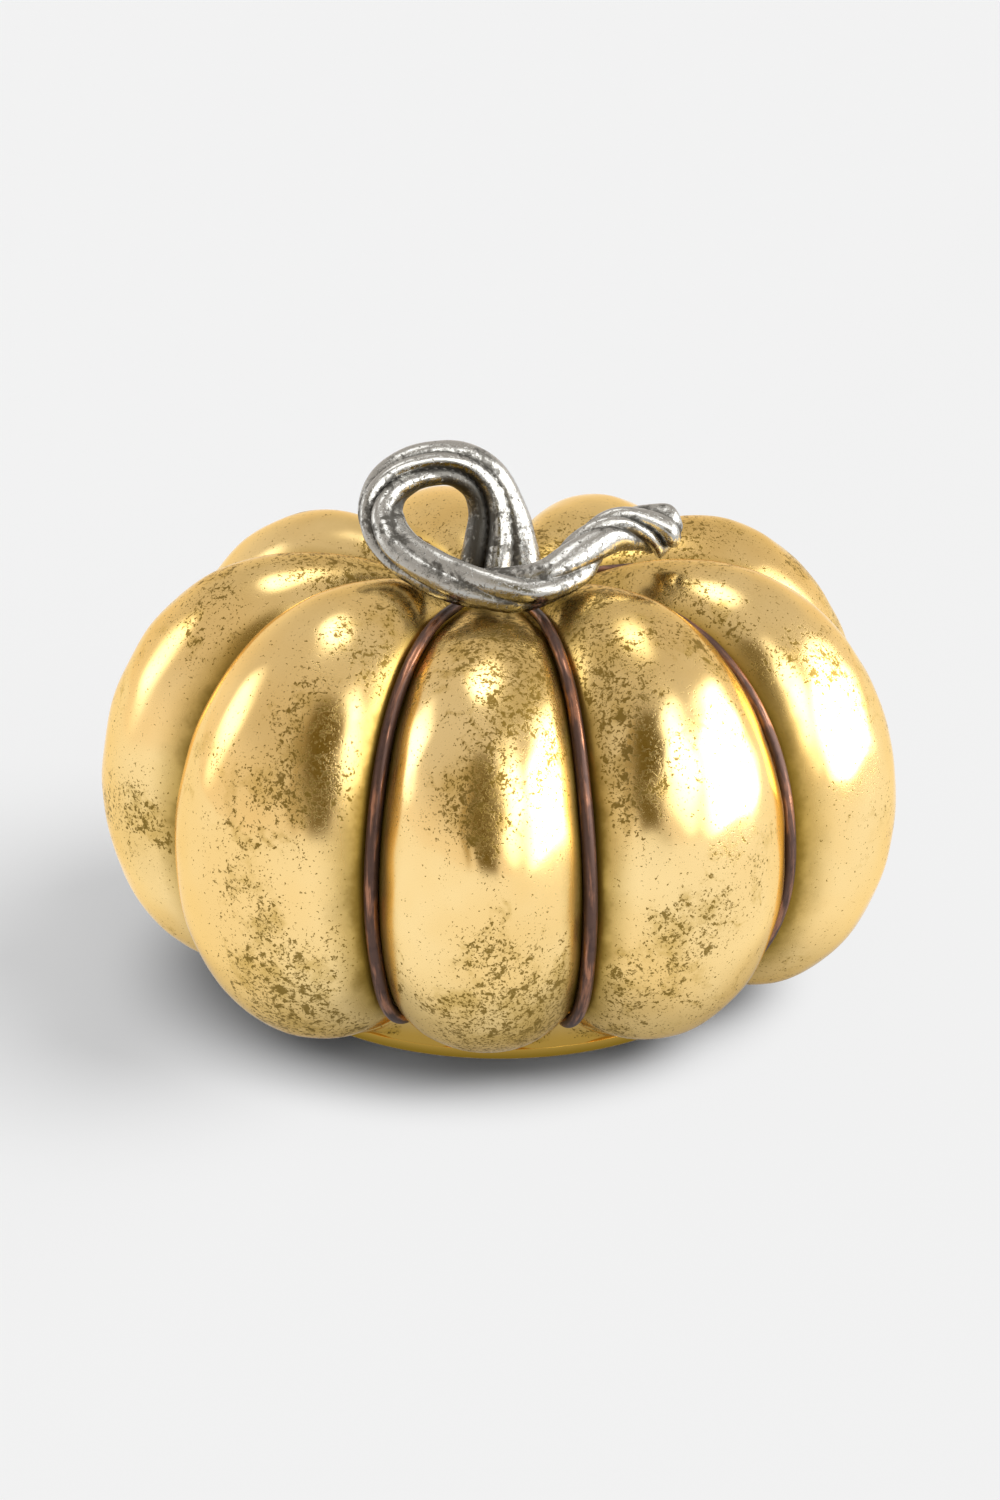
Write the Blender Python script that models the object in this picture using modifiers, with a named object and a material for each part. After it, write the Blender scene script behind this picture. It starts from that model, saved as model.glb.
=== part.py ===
"""Ceramic pumpkin figure: a hollow lobed shell, copper wires in its grooves, a twisted cast stem and a base plate.

The figure stands on z = 0 with its axis on +Z and its front facing -Y. Azimuths run from the front towards +X.
"""

import math

import bmesh
import bpy
from mathutils import Vector

MM = 0.001

# Fits between pieces
TOUCH_GAP = 0.3 * MM
SEAT_CLEARANCE = 0.4 * MM

# Lobes, going round from the front left: its reach from the axis, the height of its top and of its underside. The
# groove where it starts has an azimuth, a depth added to the common one, and the radius where its wire starts.
LOBES = (
    {"reach": 91.2 * MM, "top": 102.0 * MM, "underside": 3.0 * MM,
     "groove": {"deg": -63.0, "deeper": 4.0 * MM, "wire_start": 31.0 * MM}},
    {"reach": 89.7 * MM, "top": 96.6 * MM, "underside": 6.8 * MM,
     "groove": {"deg": -19.5, "deeper": 0.0 * MM, "wire_start": 22.0 * MM}},
    {"reach": 87.7 * MM, "top": 101.6 * MM, "underside": 5.0 * MM,
     "groove": {"deg": 13.5, "deeper": 0.0 * MM, "wire_start": 22.0 * MM}},
    {"reach": 91.7 * MM, "top": 101.0 * MM, "underside": 3.0 * MM,
     "groove": {"deg": 52.5, "deeper": 1.2 * MM, "wire_start": 31.0 * MM}},
    {"reach": 90.6 * MM, "top": 102.0 * MM, "underside": 3.0 * MM,
     "groove": {"deg": 92.0, "deeper": 0.0 * MM, "wire_start": 15.0 * MM}},
    {"reach": 90.0 * MM, "top": 100.0 * MM, "underside": 3.0 * MM,
     "groove": {"deg": 133.5, "deeper": 1.5 * MM, "wire_start": 31.0 * MM}},
    {"reach": 90.0 * MM, "top": 101.0 * MM, "underside": 3.2 * MM,
     "groove": {"deg": 173.5, "deeper": 1.5 * MM, "wire_start": 31.0 * MM}},
    {"reach": 89.5 * MM, "top": 101.0 * MM, "underside": 3.2 * MM,
     "groove": {"deg": 216.5, "deeper": 1.5 * MM, "wire_start": 31.0 * MM}},
    {"reach": 91.2 * MM, "top": 100.0 * MM, "underside": 3.4 * MM,
     "groove": {"deg": 255.5, "deeper": 1.5 * MM, "wire_start": 31.0 * MM}},
)
LOBE_FULLNESS = 0.65
SHOULDER_RADIUS = 47.0 * MM
EQUATOR_HEIGHT = 47.0 * MM
UNDERSIDE_RADIUS = 60.0 * MM

# Floor of the grooves between the lobes
GROOVE_RADIUS = 77.8 * MM
GROOVE_SHOULDER_RADIUS = 39.5 * MM
GROOVE_TOP = 93.3 * MM
GROOVE_EQUATOR_HEIGHT = 46.0 * MM
GROOVE_UNDERSIDE_RADIUS = 56.5 * MM
GROOVE_UNDERSIDE = 13.2 * MM

# Crown, where the stem sits, and foot, which stands on the base plate
CROWN_SEAT_RADIUS = 13.0 * MM
CROWN_SEAT_HEIGHT = 91.5 * MM
CROWN_CREST_POWER = 2.2
CROWN_GROOVE_POWER = 2.0
FOOT_RADIUS = 54.6 * MM
FOOT_HEIGHT = 2.7 * MM
WALL = 4.5 * MM
FOOT_OPENING_RADIUS = 44.0 * MM
CAVITY_FLOOR_RADIUS = 48.0 * MM

# Faces on the shell: steps across a lobe and along each stretch of a meridian
LOBE_STEPS = 8
CAVITY_LOBE_STEPS = 4
SHELL_STEPS = {"crown": 6, "upper": 8, "lower": 8, "foot": 3}
CAVITY_STEPS = {"crown": 3, "upper": 5, "lower": 5, "foot": 1}

# Copper wires
WIRE_RADIUS = 1.65 * MM
WIRE_POINTS = 18
WIRE_END_TURN = 0.97

# Base plate
BASE_RADIUS = 54.9 * MM
BASE_THICKNESS = FOOT_HEIGHT - TOUCH_GAP
BASE_EDGE = 0.8 * MM
SPIGOT_RADIUS = FOOT_OPENING_RADIUS - 0.5 * MM
SPIGOT_HEIGHT = 6.0 * MM
ROUND_STEPS = 64

# Stem fastening
STUD_RADIUS = 2.5 * MM
STUD_DEPTH_IN_STEM = 11.0 * MM
STUD_TAIL = 3.0 * MM
BORE_RADIUS = STUD_RADIUS + 0.5 * MM
SEALING_WASHER_RADIUS = 9.0 * MM
SEALING_WASHER_THICKNESS = 1.5 * MM
STEEL_WASHER_RADIUS = 7.5 * MM
STEEL_WASHER_THICKNESS = 1.2 * MM
NUT_ACROSS_FLATS = 8.0 * MM
NUT_THICKNESS = 4.0 * MM
FASTENER_STEPS = 24

# Stem: places its centre line passes through, with its radius over the ridges at each
STEM_ROUTE = (
    ((0.0, 0.0, 91.8), 11.6),
    ((0.0, 0.0, 95.0), 10.2),
    ((0.0, 0.5, 99.0), 9.2),
    ((-0.2, 1.2, 103.5), 8.1),
    ((-1.0, 2.0, 109.0), 6.8),
    ((-3.5, 1.8, 115.0), 6.0),
    ((-9.0, 0.0, 119.2), 5.5),
    ((-16.5, -3.5, 120.0), 5.4),
    ((-23.8, -8.5, 117.4), 5.3),
    ((-26.4, -14.5, 112.2), 5.2),
    ((-22.8, -22.0, 107.0), 5.1),
    ((-14.5, -30.0, 103.8), 5.1),
    ((-5.0, -35.0, 101.9), 5.2),
    ((5.0, -36.5, 101.9), 5.2),
    ((12.5, -34.5, 103.8), 5.1),
    ((18.0, -28.5, 107.4), 5.0),
    ((24.0, -22.0, 110.2), 4.7),
    ((29.5, -18.5, 110.1), 4.7),
    ((33.0, -16.5, 109.2), 5.7),
    ((35.4, -15.4, 108.3), 6.4),
    ((38.0, -14.2, 107.2), 3.4),
)
STEM_RIDGES = 5
STEM_FLUTE_DEPTH = 0.2
STEM_PROFILE_STEPS = 5 * STEM_RIDGES
STEM_POINTS_PER_SPAN = 3
STEM_TWIST_DEG = 330.0
STEM_ROOT_STRAIGHT = 0.12


def clear_scene():
    """Removes whatever the scene starts with."""
    for found in list(bpy.data.objects):
        bpy.data.objects.remove(found)


def new_collection(name):
    collection = bpy.data.collections.new(name)
    bpy.context.scene.collection.children.link(collection)
    return collection


def new_material(name, colour, roughness, metallic):
    material = bpy.data.materials.new(name)
    material.use_nodes = True
    shader = material.node_tree.nodes["Principled BSDF"]
    shader.inputs["Base Color"].default_value = (*colour, 1.0)
    shader.inputs["Roughness"].default_value = roughness
    shader.inputs["Metallic"].default_value = metallic
    return material


def add_object(name, data, collection, material=None):
    obj = bpy.data.objects.new(name, data)
    collection.objects.link(obj)
    if material:
        data.materials.append(material)
    return obj


def mesh_from(bm, name):
    """Closes a bmesh into a smooth-shaded mesh."""
    mesh = bpy.data.meshes.new(name)
    bm.to_mesh(mesh)
    bm.free()
    mesh.shade_smooth()
    mesh.set_sharp_from_angle(angle=math.radians(40))
    return mesh


def cutter(name, mesh, collection):
    obj = add_object(name, mesh, collection)
    obj.hide_render = True
    obj.display_type = "WIRE"
    return obj


def cut(obj, tool):
    modifier = obj.modifiers.new("cut " + tool.name, "BOOLEAN")
    modifier.operation = "DIFFERENCE"
    modifier.object = tool


def quarter(fraction):
    """Cosine and sine of a quarter turn's fraction."""
    turn = fraction * math.pi / 2
    return math.cos(turn), math.sin(turn)


def crest_point(stretch, fraction, lobe):
    """Radius and height on a lobe's crest, a fraction of the way along a stretch that runs down from the crown."""
    if stretch == "crown":
        radius = CROWN_SEAT_RADIUS + (SHOULDER_RADIUS - CROWN_SEAT_RADIUS) * fraction
        drop = (lobe["top"] - CROWN_SEAT_HEIGHT) * (1 - fraction) ** CROWN_CREST_POWER
        return radius, lobe["top"] - drop
    across, along = quarter(fraction)
    if stretch == "upper":
        radius = SHOULDER_RADIUS + (lobe["reach"] - SHOULDER_RADIUS) * along
        return radius, EQUATOR_HEIGHT + (lobe["top"] - EQUATOR_HEIGHT) * across
    if stretch == "lower":
        radius = UNDERSIDE_RADIUS + (lobe["reach"] - UNDERSIDE_RADIUS) * across
        return radius, EQUATOR_HEIGHT - (EQUATOR_HEIGHT - lobe["underside"]) * along
    radius = UNDERSIDE_RADIUS + (FOOT_RADIUS - UNDERSIDE_RADIUS) * fraction
    return radius, lobe["underside"] + (FOOT_HEIGHT - lobe["underside"]) * fraction


def groove_point(stretch, fraction):
    """Radius and height on the floor of a groove, a fraction of the way along a stretch."""
    if stretch == "crown":
        radius = CROWN_SEAT_RADIUS + (GROOVE_SHOULDER_RADIUS - CROWN_SEAT_RADIUS) * fraction
        drop = (GROOVE_TOP - CROWN_SEAT_HEIGHT) * (1 - fraction) ** CROWN_GROOVE_POWER
        return radius, GROOVE_TOP - drop
    across, along = quarter(fraction)
    if stretch == "upper":
        radius = GROOVE_SHOULDER_RADIUS + (GROOVE_RADIUS - GROOVE_SHOULDER_RADIUS) * along
        return radius, GROOVE_EQUATOR_HEIGHT + (GROOVE_TOP - GROOVE_EQUATOR_HEIGHT) * across
    if stretch == "lower":
        radius = GROOVE_UNDERSIDE_RADIUS + (GROOVE_RADIUS - GROOVE_UNDERSIDE_RADIUS) * across
        return radius, GROOVE_EQUATOR_HEIGHT - (GROOVE_EQUATOR_HEIGHT - GROOVE_UNDERSIDE) * along
    radius = GROOVE_UNDERSIDE_RADIUS + (FOOT_RADIUS - GROOVE_UNDERSIDE_RADIUS) * fraction
    return radius, GROOVE_UNDERSIDE + (FOOT_HEIGHT - GROOVE_UNDERSIDE) * fraction


def deepening(stretch, fraction):
    """Share of a groove's added depth, which fades out at the crown and the foot."""
    return {"crown": fraction, "foot": 1 - fraction}.get(stretch, 1.0)


def moved_off(point_at, fraction, distance):
    """A meridian's point moved off the surface by a distance, outwards where it is positive."""
    step = 1e-4
    before = point_at(max(fraction - step, 0.0))
    after = point_at(min(fraction + step, 1.0))
    slope_radius, slope_height = after[0] - before[0], after[1] - before[1]
    length = math.hypot(slope_radius, slope_height)
    radius, height = point_at(fraction)
    return radius - slope_height / length * distance, height + slope_radius / length * distance


def stations(steps):
    """The (stretch, fraction) pairs of a meridian's points, from the crown to the foot."""
    found = [("crown", 0.0)]
    for stretch, count in steps.items():
        found += [(stretch, (step + 1) / count) for step in range(count)]
    return found


def on_axis_turn(radius, height, azimuth):
    return Vector((radius * math.sin(azimuth), -radius * math.cos(azimuth), height))


def groove_place(groove, station, outwards):
    """Radius and height of a groove's floor at a station, moved outwards by a distance."""
    stretch, fraction = station
    depth = groove["deeper"] * deepening(stretch, fraction)
    return moved_off(lambda f: groove_point(stretch, f), fraction, outwards - depth)


def shell_point(column, station, inset, lobe_steps):
    """A point of the lobed surface. Each lobe swells from its two grooves to its crest in lobe_steps columns, and the
    step from one lobe to the next is the flat seat of a wire."""
    stretch, fraction = station
    index, place = divmod(column, lobe_steps + 1)
    lobe, following = LOBES[index], LOBES[(index + 1) % len(LOBES)]
    turns = 1 if index == len(LOBES) - 1 else 0
    start = groove_place(lobe["groove"], station, -inset)
    end = groove_place(following["groove"], station, -inset)
    crest = moved_off(lambda f: crest_point(stretch, f, lobe), fraction, -inset)
    seat = WIRE_RADIUS + SEAT_CLEARANCE
    low = math.radians(lobe["groove"]["deg"]) + math.asin(seat / start[0])
    high = math.radians(following["groove"]["deg"] + 360 * turns) - math.asin(seat / end[0])
    across = -math.cos(math.pi * place / lobe_steps)
    share = (1 + across) / 2
    swell = max(0.0, 1 - across * across) ** (1.0 if inset else LOBE_FULLNESS)
    radius, height = (
        (a + (b - a) * share) * (1 - swell) + top * swell for a, b, top in zip(start, end, crest)
    )
    if inset and stretch == "foot":
        radius, height = CAVITY_FLOOR_RADIUS, FOOT_HEIGHT + inset
    return on_axis_turn(radius, height, low + (high - low) * share)


def lobed_solid(name, inset, lobe_steps, steps):
    """A flat grid wrapped round the axis onto the lobed surface, welded at its seam and closed at crown and foot."""
    places = stations(steps)
    columns = len(LOBES) * (lobe_steps + 1)
    bm = bmesh.new()
    bmesh.ops.create_grid(bm, x_segments=columns, y_segments=len(places) - 1, size=1.0)
    for vert in bm.verts:
        column = round((vert.co.x + 1) / 2 * columns) % columns
        row = round((1 - vert.co.y) / 2 * (len(places) - 1))
        vert.co = shell_point(column, places[row], inset, lobe_steps)
    bmesh.ops.remove_doubles(bm, verts=bm.verts, dist=1e-6)
    bmesh.ops.holes_fill(bm, edges=bm.edges, sides=columns)
    bmesh.ops.recalc_face_normals(bm, faces=bm.faces)
    return mesh_from(bm, name)


def cylinder_mesh(name, radius, low, high, steps):
    """A closed cylinder on the axis between two heights."""
    bm = bmesh.new()
    bmesh.ops.create_cone(
        bm, cap_ends=True, segments=steps, radius1=radius, radius2=radius, depth=high - low
    )
    bmesh.ops.translate(bm, verts=bm.verts, vec=(0.0, 0.0, (low + high) / 2))
    return mesh_from(bm, name)


def turned(name, profile, steps, collection, material):
    """A closed outline of (radius, height) corners, listed down its outer side first, turned about the axis."""
    bm = bmesh.new()
    corners = [bm.verts.new((radius, 0.0, height)) for radius, height in profile]
    for first, second in zip(corners, corners[1:]):
        bm.edges.new((first, second))
    if profile[0][0] > 0:
        bm.edges.new((corners[-1], corners[0]))
    obj = add_object(name, mesh_from(bm, name), collection, material)
    screw = obj.modifiers.new("turn", "SCREW")
    screw.steps = screw.render_steps = steps
    screw.use_merge_vertices = True
    screw.merge_threshold = 1e-5
    return obj


def make_shell(parts, tools, material):
    """The hollow shell: the lobed body less its cavity, the stud's bore in the crown and the opening in the foot."""
    outer = lobed_solid("pumpkin_shell", 0.0, LOBE_STEPS, SHELL_STEPS)
    shell = add_object("pumpkin_shell", outer, parts, material)
    cavity = lobed_solid("cavity", WALL, CAVITY_LOBE_STEPS, CAVITY_STEPS)
    bore = cylinder_mesh(
        "crown_bore", BORE_RADIUS, CROWN_SEAT_HEIGHT - 2 * WALL, CROWN_SEAT_HEIGHT + WALL, FASTENER_STEPS
    )
    opening = cylinder_mesh("foot_opening", FOOT_OPENING_RADIUS, -WALL, 3 * WALL, ROUND_STEPS)
    for mesh in (cavity, bore, opening):
        cut(shell, cutter(mesh.name, mesh, tools))
    return shell


def wire_points(groove):
    """The centre line of a wire: along its groove from beside the stem to the top of the foot."""
    lift = WIRE_RADIUS + TOUCH_GAP
    crown_start = (groove["wire_start"] - CROWN_SEAT_RADIUS) / (GROOVE_SHOULDER_RADIUS - CROWN_SEAT_RADIUS)
    route = []
    for stretch, start, end in (("crown", crown_start, 1.0), ("upper", 0.0, 1.0), ("lower", 0.0, WIRE_END_TURN)):
        count = WIRE_POINTS // 3
        for step in range(0 if stretch == "crown" else 1, count + 1):
            fraction = start + (end - start) * step / count
            place = groove_place(groove, (stretch, fraction), lift)
            route.append(on_axis_turn(*place, math.radians(groove["deg"])))
    return route


def make_wire(number, groove, parts, material):
    """One copper wire, a round tube along its groove."""
    name = f"groove_wire_{number}"
    curve = bpy.data.curves.new(name, "CURVE")
    curve.dimensions = "3D"
    curve.bevel_depth = WIRE_RADIUS
    curve.bevel_resolution = 2
    curve.use_fill_caps = True
    route = wire_points(groove)
    spline = curve.splines.new("POLY")
    spline.points.add(len(route) - 1)
    for point, place in zip(spline.points, route):
        point.co = (*place, 1.0)
    return add_object(name, curve, parts, material)


def smooth_route(points, per_span):
    """Points along a smooth curve through the given ones, each a vector and a radius (Catmull-Rom)."""
    rows = [Vector((*place, radius)) * MM for place, radius in points]
    rows = [2 * rows[0] - rows[1], *rows, 2 * rows[-1] - rows[-2]]
    found = []
    for a, b, c, d in zip(rows, rows[1:], rows[2:], rows[3:]):
        for step in range(per_span):
            t = step / per_span
            found.append(
                0.5 * (2 * b + (c - a) * t + (2 * a - 5 * b + 4 * c - d) * t**2 + (3 * b - a - 3 * c + d) * t**3)
            )
    return [*found, rows[-2]]


def stem_profile(tools):
    """The stem's outline across its length, of radius 1, with rounded ridges and flutes between them."""
    curve = bpy.data.curves.new("stem_profile", "CURVE")
    spline = curve.splines.new("POLY")
    spline.points.add(STEM_PROFILE_STEPS - 1)
    for step, point in enumerate(spline.points):
        turn = 2 * math.pi * step / STEM_PROFILE_STEPS
        radius = 1 - STEM_FLUTE_DEPTH * abs(math.sin(STEM_RIDGES * turn / 2)) ** 1.5
        point.co = (radius * math.cos(turn), radius * math.sin(turn), 0.0, 1.0)
    spline.use_cyclic_u = True
    obj = add_object("stem_profile", curve, tools)
    obj.hide_render = True
    obj.display_type = "WIRE"
    return obj


def stem_mesh(tools):
    """The ridged outline carried along the stem's route, twisting and changing its radius, as a closed mesh."""
    curve = bpy.data.curves.new("stem", "CURVE")
    curve.dimensions = "3D"
    curve.bevel_mode = "OBJECT"
    curve.bevel_object = stem_profile(tools)
    curve.use_fill_caps = True
    curve.twist_mode = "MINIMUM"
    rows = smooth_route(STEM_ROUTE, STEM_POINTS_PER_SPAN)
    spline = curve.splines.new("POLY")
    spline.points.add(len(rows) - 1)
    for step, (point, row) in enumerate(zip(spline.points, rows)):
        along = step / (len(rows) - 1)
        point.co = (*row[:3], 1.0)
        point.radius = row[3]
        point.tilt = math.radians(STEM_TWIST_DEG) * max(0.0, along - STEM_ROOT_STRAIGHT)
    guide = add_object("stem_guide", curve, tools)
    bpy.context.view_layer.update()
    swept = guide.evaluated_get(bpy.context.evaluated_depsgraph_get())
    bm = bmesh.new()
    bm.from_mesh(bpy.data.meshes.new_from_object(swept))
    bpy.data.objects.remove(guide)
    bmesh.ops.remove_doubles(bm, verts=bm.verts, dist=1e-6)
    bmesh.ops.recalc_face_normals(bm, faces=bm.faces)
    return mesh_from(bm, "stem")


def make_stem(parts, tools, material):
    """The cast stem, with a blind hole in its root for the stud."""
    stem = add_object("stem", stem_mesh(tools), parts, material)
    root = STEM_ROUTE[0][0][2] * MM
    hole = cylinder_mesh(
        "stud_hole", STUD_RADIUS + TOUCH_GAP, root - WALL, root + STUD_DEPTH_IN_STEM + TOUCH_GAP, FASTENER_STEPS
    )
    cut(stem, cutter(hole.name, hole, tools))
    return stem


def ring_profile(inner, outer, low, high):
    return [(outer, high), (outer, low), (inner, low), (inner, high)]


def make_fastening(parts, tools, steel, fibre):
    """The stud in the stem's root, and the washers and nut that draw it against the inside of the crown."""
    inside = CROWN_SEAT_HEIGHT - WALL
    sealing_top = inside - TOUCH_GAP
    sealing_low = sealing_top - SEALING_WASHER_THICKNESS
    washer_top = sealing_low - TOUCH_GAP
    washer_low = washer_top - STEEL_WASHER_THICKNESS
    nut_top = washer_low - TOUCH_GAP
    nut_low = nut_top - NUT_THICKNESS
    hole = STUD_RADIUS + TOUCH_GAP
    turned(
        "sealing_washer", ring_profile(hole, SEALING_WASHER_RADIUS, sealing_low, sealing_top), ROUND_STEPS // 2,
        parts, fibre,
    )
    turned(
        "steel_washer", ring_profile(hole, STEEL_WASHER_RADIUS, washer_low, washer_top), ROUND_STEPS // 2,
        parts, steel,
    )
    corner_radius = NUT_ACROSS_FLATS / math.sqrt(3)
    nut = add_object("stem_nut", cylinder_mesh("stem_nut", corner_radius, nut_low, nut_top, 6), parts, steel)
    nut_hole = cylinder_mesh("nut_hole", hole, nut_low - WALL, nut_top + WALL, FASTENER_STEPS)
    cut(nut, cutter(nut_hole.name, nut_hole, tools))
    stud_top = STEM_ROUTE[0][0][2] * MM + STUD_DEPTH_IN_STEM
    stud = cylinder_mesh("stem_stud", STUD_RADIUS, nut_low - STUD_TAIL, stud_top, FASTENER_STEPS)
    add_object("stem_stud", stud, parts, steel)


def make_base_plate(parts, material):
    """The disc that the shell stands on, with a spigot that fills the opening in the foot."""
    outline = [
        (0.0, SPIGOT_HEIGHT),
        (SPIGOT_RADIUS - BASE_EDGE, SPIGOT_HEIGHT),
        (SPIGOT_RADIUS, SPIGOT_HEIGHT - BASE_EDGE),
        (SPIGOT_RADIUS, BASE_THICKNESS),
        (BASE_RADIUS - BASE_EDGE, BASE_THICKNESS),
        (BASE_RADIUS, BASE_THICKNESS - BASE_EDGE),
        (BASE_RADIUS, BASE_EDGE),
        (BASE_RADIUS - BASE_EDGE, 0.0),
        (0.0, 0.0),
    ]
    return turned("base_plate", outline, ROUND_STEPS, parts, material)


def main():
    clear_scene()
    parts = new_collection("pumpkin_figure")
    tools = new_collection("cutters")
    gold = new_material("gold_leaf", (0.83, 0.62, 0.22), 0.18, 1.0)
    copper = new_material("aged_copper", (0.36, 0.17, 0.10), 0.4, 1.0)
    pewter = new_material("cast_pewter", (0.62, 0.62, 0.60), 0.25, 1.0)
    steel = new_material("zinc_steel", (0.60, 0.61, 0.63), 0.35, 1.0)
    fibre = new_material("red_fibre", (0.35, 0.09, 0.06), 0.8, 0.0)
    make_shell(parts, tools, gold)
    make_base_plate(parts, gold)
    for number, lobe in enumerate(LOBES, start=1):
        make_wire(number, lobe["groove"], parts, copper)
    make_stem(parts, tools, pewter)
    make_fastening(parts, tools, steel, fibre)


main()
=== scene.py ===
"""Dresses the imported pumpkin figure: speckled gold shell and base, copper wires, and a twisted cast stem."""

import math

import bmesh
import bpy
import numpy as np
from bpy.props import FloatProperty, FloatVectorProperty, IntProperty, PointerProperty
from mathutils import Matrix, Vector


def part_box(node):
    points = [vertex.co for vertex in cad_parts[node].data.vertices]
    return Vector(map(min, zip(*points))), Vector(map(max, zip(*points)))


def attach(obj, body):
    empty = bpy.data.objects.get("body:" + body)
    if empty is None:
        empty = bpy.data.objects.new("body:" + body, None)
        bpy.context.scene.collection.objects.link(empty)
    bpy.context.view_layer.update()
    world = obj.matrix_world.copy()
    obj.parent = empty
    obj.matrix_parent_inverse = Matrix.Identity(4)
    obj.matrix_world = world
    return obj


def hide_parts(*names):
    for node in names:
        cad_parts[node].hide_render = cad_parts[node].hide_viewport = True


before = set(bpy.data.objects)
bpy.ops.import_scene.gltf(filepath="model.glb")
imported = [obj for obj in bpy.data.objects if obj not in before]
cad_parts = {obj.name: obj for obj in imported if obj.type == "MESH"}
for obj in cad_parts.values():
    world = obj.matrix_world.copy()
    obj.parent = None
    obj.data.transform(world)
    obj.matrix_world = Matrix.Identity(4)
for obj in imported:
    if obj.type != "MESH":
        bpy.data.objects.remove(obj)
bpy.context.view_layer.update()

bl_info = {
    "name": "Pumpkin Figure",
    "version": (1, 0, 0),
    "blender": (4, 5, 0),
    "location": "View3D > Sidebar > Pumpkin",
    "description": "Builds a gold pumpkin figure with copper wires and a cast stem round its packed frame",
    "category": "Add Mesh",
}

MM = 0.001
BODY = "root"
WIRE_NODES = sorted(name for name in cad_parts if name.startswith("groove_wire_"))
BASE_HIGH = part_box("base_plate")[1]

# Lobes, going round from the front left. Each row is the lobe's reach from the axis, the height of its top
# and the height of its underside in millimetres, then the groove where it starts: its azimuth in degrees,
# its depth beyond the common one and the distance from the axis at which its wire starts.
LOBES = np.array(
    (
        (91.2, 102.0, 3.0, -63.0, 4.0, 31.0),
        (89.7, 96.6, 6.8, -19.5, 0.0, 22.0),
        (87.7, 101.6, 5.0, 13.5, 0.0, 22.0),
        (91.7, 101.0, 3.0, 52.5, 1.2, 31.0),
        (90.6, 102.0, 3.0, 92.0, 0.0, 15.0),
        (90.0, 100.0, 3.0, 133.5, 1.5, 31.0),
        (90.0, 101.0, 3.2, 173.5, 1.5, 31.0),
        (89.5, 101.0, 3.2, 216.5, 1.5, 31.0),
        (91.2, 100.0, 3.4, 255.5, 1.5, 31.0),
    )
)
REACH, TOP, UNDERSIDE = LOBES[:, :3].T * MM
GROOVE_AZIMUTH = np.radians(LOBES[:, 3])
GROOVE_DEEPER, WIRE_START = LOBES[:, 4:].T * MM

# Patches of wear: azimuth in degrees, height and spread in millimetres, then how far specks and stain gather
# there, or keep away where the number is negative.
WEAR = np.array(
    (
        (-33.0, 29.0, 7.0, 0.15, 0.1),
        (-24.0, 34.0, 5.0, 0.12, 0.1),
        (-30.0, 18.0, 9.0, 0.14, 0.2),
        (-32.0, 72.0, 8.0, 0.12, 0.2),
        (-27.0, 98.0, 12.0, 0.14, 0.2),
        (-4.0, 72.0, 6.0, 0.17, 0.25),
        (8.0, 66.0, 7.0, -0.12, 0.0),
        (3.0, 32.0, 11.0, 0.17, 0.15),
        (-5.0, 20.0, 9.0, 0.15, 0.2),
        (3.0, 90.0, 8.0, 0.1, 0.2),
        (19.0, 94.0, 12.0, 0.17, 0.4),
        (24.0, 70.0, 7.0, 0.12, 0.15),
        (28.0, 41.0, 9.0, 0.09, 0.1),
        (22.0, 24.0, 9.0, 0.12, 0.15),
        (57.0, 89.0, 11.0, 0.08, 0.25),
        (52.0, 62.0, 12.0, -0.08, 0.0),
        (60.0, 26.0, 15.0, -0.1, 0.0),
        (-46.0, 36.0, 11.0, -0.1, 0.0),
        (-70.0, 42.0, 10.0, 0.15, 0.2),
        (-80.0, 99.0, 12.0, 0.12, 0.2),
        (110.0, 98.0, 13.0, 0.08, 0.2),
        (112.0, 45.0, 14.0, 0.12, 0.2),
        (150.0, 62.0, 15.0, 0.12, 0.2),
        (190.0, 35.0, 14.0, 0.13, 0.2),
        (232.0, 70.0, 15.0, 0.12, 0.25),
        (262.0, 30.0, 12.0, 0.12, 0.2),
    )
)

# The stem's centre line from the crown to its tip in millimetres, with its radius over the ridges at each
# place.
STEM_ROUTE = np.array(
    (
        (0.0, 0.0, 91.8, 11.4),
        (0.0, 0.0, 95.0, 10.2),
        (0.0, 0.5, 99.0, 9.2),
        (-0.2, 1.2, 103.5, 8.1),
        (-1.0, 2.0, 109.0, 6.8),
        (-3.5, 1.8, 115.0, 6.0),
        (-9.0, 0.0, 119.2, 5.5),
        (-16.5, -3.5, 120.0, 5.3),
        (-23.8, -8.5, 117.4, 5.3),
        (-26.4, -14.5, 112.2, 5.2),
        (-22.8, -22.0, 107.0, 5.1),
        (-14.5, -30.0, 103.8, 5.1),
        (-5.0, -35.0, 101.9, 5.2),
        (5.0, -36.5, 101.9, 5.2),
        (12.5, -34.5, 103.8, 5.1),
        (18.0, -28.5, 107.4, 5.0),
        (24.0, -22.0, 110.2, 5.0),
        (29.5, -18.5, 110.1, 5.0),
        (33.0, -16.5, 109.2, 5.6),
        (35.4, -15.4, 108.3, 6.4),
        (38.0, -14.2, 107.2, 3.4),
    )
)
BODY_MIDDLE = np.array((0.0, 0.0, 47.0)) * MM
LOOP_MIDDLE = np.array((-13.0, -12.0, 111.0)) * MM

# How finely the pieces are cut. The shell's rows are given for each stretch of its meridians.
SHELL_ROWS = (40, 74, 62, 14)
LOBE_STEPS = 40
INSIDE_EVERY = 8
WIRE_STEPS, WIRE_SIDES = 170, 24
STEM_STEPS, STEM_SIDES = 24, 150
BASE_SIDES, CORNER_STEPS = 256, 9

# Where the wires end on the grooves' meridians.
WIRE_END = 2.97

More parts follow.
